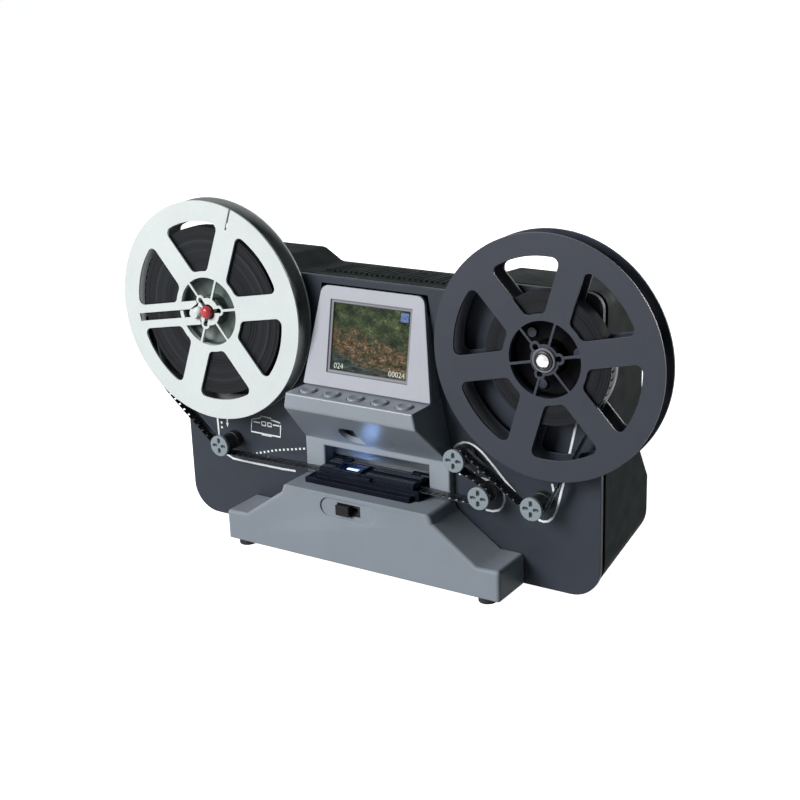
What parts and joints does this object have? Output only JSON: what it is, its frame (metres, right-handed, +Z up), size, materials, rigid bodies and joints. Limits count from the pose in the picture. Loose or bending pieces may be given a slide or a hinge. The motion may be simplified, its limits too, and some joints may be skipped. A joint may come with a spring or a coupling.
{
  "type": "film scanner",
  "caption": "Tabletop scanner for narrow film with side-by-side reels, guide rollers, a hinged film gate, a small tilted screen, round push buttons and a slide switch.",
  "frame": {"origin": "middle of the overall box, on the table", "axes": "+X to the right along the two reels, +Y to the back along the reel axes, +Z up"},
  "size_m": [0.3404, 0.0886, 0.1978],
  "materials": {
    "panel_black": "fine-grained satin",
    "housing_black": "fine-grained matt",
    "body_grey": "satin painted",
    "bezel_grey": "satin painted",
    "screen_glass": "clear gloss",
    "display": "lit display",
    "circuit_board": "solder mask",
    "inner_black": "moulded",
    "switch_black": "moulded",
    "gate_black": "satin moulded",
    "steel": "turned",
    "diffuser_white": "frosted",
    "lens_black": "anodised",
    "film_dark": "glossy film base",
    "bush_brass": "turned",
    "reel_white": "satin moulded",
    "reel_black": "satin moulded",
    "spindle_black": "moulded",
    "tip_red": "gloss moulded",
    "tip_silver": "polished",
    "pulley_white": "moulded",
    "belt_rubber": "matt",
    "button_grey": "satin moulded",
    "roller_black": "moulded",
    "cap_grey": "satin moulded",
    "foot_rubber": "matt"
  },
  "bodies": {
    "chassis": {"front_panel": "panel_black", "rear_housing": "housing_black", "top_grille": "housing_black", "base_shell": "body_grey", "base_plate": "inner_black", "console_body": "body_grey", "screen_bezel": "bezel_grey", "screen_window": "screen_glass", "lcd_module": "display", "button_board": "circuit_board", "switch_body": "inner_black", "gate_base": "gate_black", "gate_pin": "steel", "light_diffuser": "diffuser_white", "led_board": "circuit_board", "camera_module": "circuit_board", "camera_lens": "lens_black", "claw_drive": "inner_black", "film_strip": "film_dark", "roller_posts": "steel", "spindle_bushes": "bush_brass", "take_up_motor": "steel", "motor_bracket": "steel", "drive_belt": "belt_rubber", "main_board": "circuit_board", "power_socket": "inner_black", "card_socket": "steel", "data_socket": "steel", "housing_screws": "steel", "base_screws": "steel", "feet": "foot_rubber"},
    "supply_reel": {"supply_reel_front": "reel_white", "supply_reel_rear": "reel_white", "supply_film_pack": "film_dark", "supply_spindle": "spindle_black", "supply_spindle_tip": "tip_red", "supply_brake_disc": "inner_black"},
    "take_up_reel": {"take_up_reel_front": "reel_black", "take_up_reel_rear": "reel_black", "take_up_film_pack": "film_dark", "take_up_spindle": "spindle_black", "take_up_spindle_tip": "tip_silver", "take_up_pulley": "pulley_white"},
    "entry_roller_body": {"entry_roller": "roller_black", "entry_roller_cap": "cap_grey"},
    "return_roller_body": {"return_roller": "roller_black", "return_roller_cap": "cap_grey"},
    "exit_roller_body": {"exit_roller": "roller_black", "exit_roller_cap": "cap_grey"},
    "guide_roller_body": {"guide_roller": "roller_black", "guide_roller_cap": "cap_grey"},
    "motor_pulley_body": {"motor_pulley": "pulley_white"},
    "film_claw_body": {"film_claw": "steel"},
    "gate_cover_body": {"gate_cover": "gate_black"},
    "switch_slider_body": {"switch_slider": "switch_black"},
    "button_1_body": {"button_1": "button_grey"},
    "button_2_body": {"button_2": "button_grey"},
    "button_3_body": {"button_3": "button_grey"},
    "button_4_body": {"button_4": "button_grey"},
    "button_5_body": {"button_5": "button_grey"}
  },
  "joints": [
    {"name": "supply_spin", "type": "hinge", "parent": "chassis", "child": "supply_reel", "pos_m": [-0.10675, -0.02375, 0.1343], "axis": [0, -1, 0], "continuous": true},
    {"name": "take_up_spin", "type": "hinge", "parent": "chassis", "child": "take_up_reel", "pos_m": [0.10675, -0.02375, 0.1343], "axis": [0, -1, 0], "continuous": true},
    {"name": "entry_roller_spin", "type": "hinge", "parent": "chassis", "child": "entry_roller_body", "pos_m": [-0.1058, -0.02375, 0.0536], "axis": [0, -1, 0], "continuous": true},
    {"name": "return_roller_spin", "type": "hinge", "parent": "chassis", "child": "return_roller_body", "pos_m": [0.0534, -0.02375, 0.072], "axis": [0, -1, 0], "continuous": true},
    {"name": "exit_roller_spin", "type": "hinge", "parent": "chassis", "child": "exit_roller_body", "pos_m": [0.068, -0.02375, 0.0536], "axis": [0, -1, 0], "continuous": true},
    {"name": "guide_roller_spin", "type": "hinge", "parent": "chassis", "child": "guide_roller_body", "pos_m": [0.099, -0.02375, 0.0536], "axis": [0, -1, 0], "continuous": true},
    {"name": "motor_pulley_spin", "type": "hinge", "parent": "chassis", "child": "motor_pulley_body", "pos_m": [0.06475, -0.02375, 0.1343], "axis": [0, -1, 0], "continuous": true},
    {"name": "film_claw_slide", "type": "slide", "parent": "chassis", "child": "film_claw_body", "axis": [1, 0, 0], "range_m": [-0.0021, 0.0021]},
    {"name": "gate_cover_hinge", "type": "hinge", "parent": "chassis", "child": "gate_cover_body", "pos_m": [-0.0032, -0.01215, 0.05185], "axis": [-1, 0, 0], "range_deg": [0, 42]},
    {"name": "switch_slide", "type": "slide", "parent": "chassis", "child": "switch_slider_body", "axis": [1, 0, 0], "range_m": [0, 0.0055]},
    {"name": "button_1_press", "type": "slide", "parent": "chassis", "child": "button_1_body", "axis": [0, 0, -1], "range_m": [0, 0.0008], "stiffness_N_per_m": 400},
    {"name": "button_2_press", "type": "slide", "parent": "chassis", "child": "button_2_body", "axis": [0, 0, -1], "range_m": [0, 0.0008], "stiffness_N_per_m": 400},
    {"name": "button_3_press", "type": "slide", "parent": "chassis", "child": "button_3_body", "axis": [0, 0, -1], "range_m": [0, 0.0008], "stiffness_N_per_m": 400},
    {"name": "button_4_press", "type": "slide", "parent": "chassis", "child": "button_4_body", "axis": [0, 0, -1], "range_m": [0, 0.0008], "stiffness_N_per_m": 400},
    {"name": "button_5_press", "type": "slide", "parent": "chassis", "child": "button_5_body", "axis": [0, 0, -1], "range_m": [0, 0.0008], "stiffness_N_per_m": 400}
  ],
  "couplings": [
    {"joint": "take_up_spin", "follows": "supply_spin", "ratio": 1.4203},
    {"joint": "entry_roller_spin", "follows": "supply_spin", "ratio": 9.8},
    {"joint": "return_roller_spin", "follows": "supply_spin", "ratio": -9.8},
    {"joint": "exit_roller_spin", "follows": "supply_spin", "ratio": 9.8},
    {"joint": "guide_roller_spin", "follows": "supply_spin", "ratio": 9.8},
    {"joint": "motor_pulley_spin", "follows": "supply_spin", "ratio": 5.113}
  ]
}
